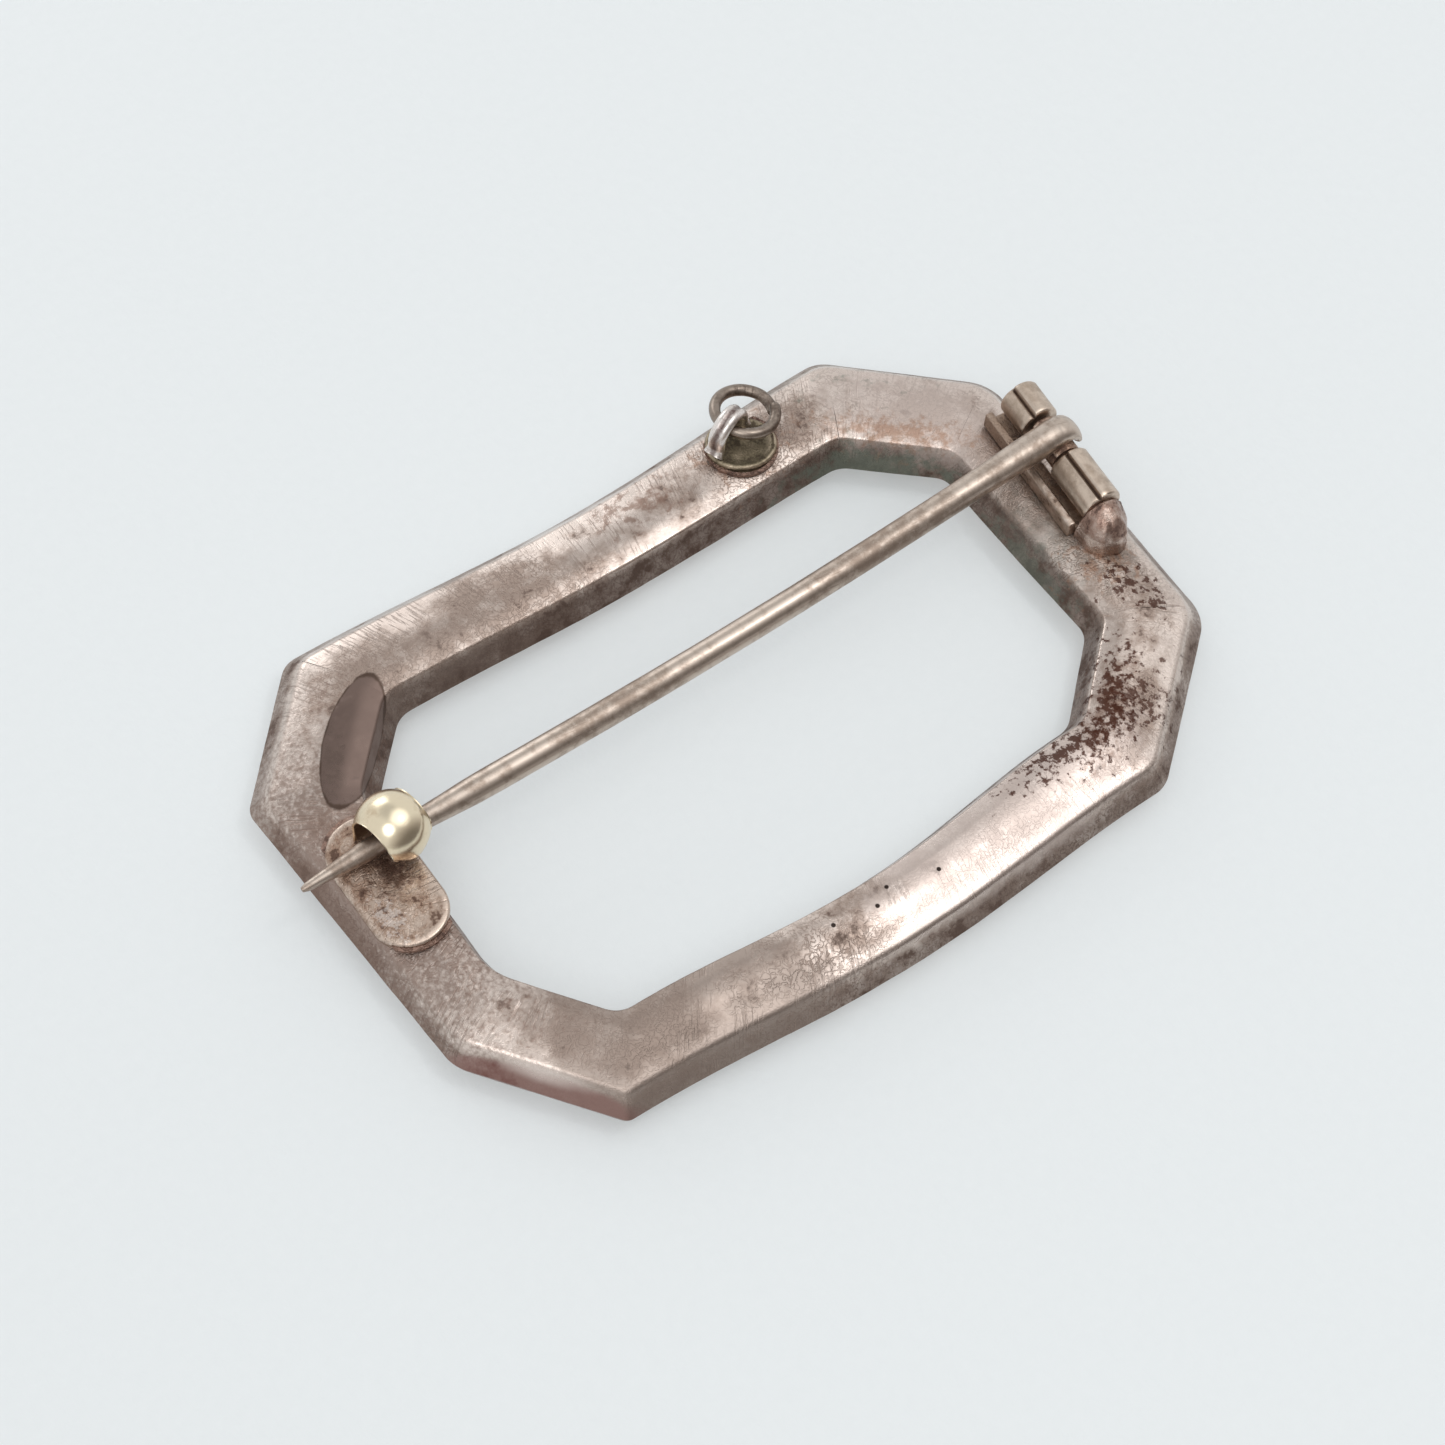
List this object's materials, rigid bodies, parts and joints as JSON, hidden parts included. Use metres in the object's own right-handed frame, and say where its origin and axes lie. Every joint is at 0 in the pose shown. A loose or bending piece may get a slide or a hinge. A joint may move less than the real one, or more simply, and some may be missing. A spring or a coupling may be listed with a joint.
{
  "type": "open-frame octagonal brooch",
  "caption": "Open octagonal silver brooch frame, hollow, made of pressed shells, with a hinged pin, an open hook catch and a small jump ring on its back.",
  "frame": {"origin": "middle of the frame's outline, in the plane of the front face that the brooch rests on", "axes": "+X along the frame towards the hinge end, +Y towards the side with the jump ring, +Z from the front face out through the back"},
  "size_m": [0.0358, 0.0233, 0.0051],
  "materials": {
    "silver_sheet": "aged silver, satin",
    "aged_fittings": "tarnished silver, satin",
    "gilt_hook": "worn pale gilding, polished",
    "pin_wire": "drawn wire, satin",
    "solder": "bright lumpy solder",
    "dark_ring": "oxidised wire",
    "silver_wire": "polished wire"
  },
  "bodies": {
    "frame": {"front_shell": "silver_sheet", "back_corner_hinge_ring": "silver_sheet", "back_side_ring": "silver_sheet", "back_corner_catch_ring": "silver_sheet", "back_end_catch": "silver_sheet", "back_corner_catch_plain": "silver_sheet", "back_side_plain": "silver_sheet", "back_corner_hinge_plain": "silver_sheet", "back_end_hinge": "silver_sheet", "hinge_plate": "aged_fittings", "hinge_knuckle_ring": "aged_fittings", "hinge_knuckle_plain": "aged_fittings", "hinge_rivet": "aged_fittings", "hinge_solder": "solder", "catch_plate": "aged_fittings", "catch_hook": "gilt_hook", "catch_solder": "solder", "ring_pad": "aged_fittings", "ring_staple": "silver_wire", "ring_pad_solder": "solder"},
    "pin": {"pin_knuckle": "aged_fittings", "pin_stem": "pin_wire"},
    "ring": {"jump_ring": "dark_ring"}
  },
  "joints": [
    {"name": "pin_swing", "type": "hinge", "parent": "frame", "child": "pin", "pos_m": [0.0167, 0.0018, 0.0035], "axis": [0.1045, 0.9945, 0], "range_deg": [0, 110]},
    {"name": "ring_swing", "type": "hinge", "parent": "frame", "child": "ring", "pos_m": [0.0065, 0.00995, 0.0034], "axis": [0.342, -0.9397, 0], "range_deg": [0, 180]}
  ]
}
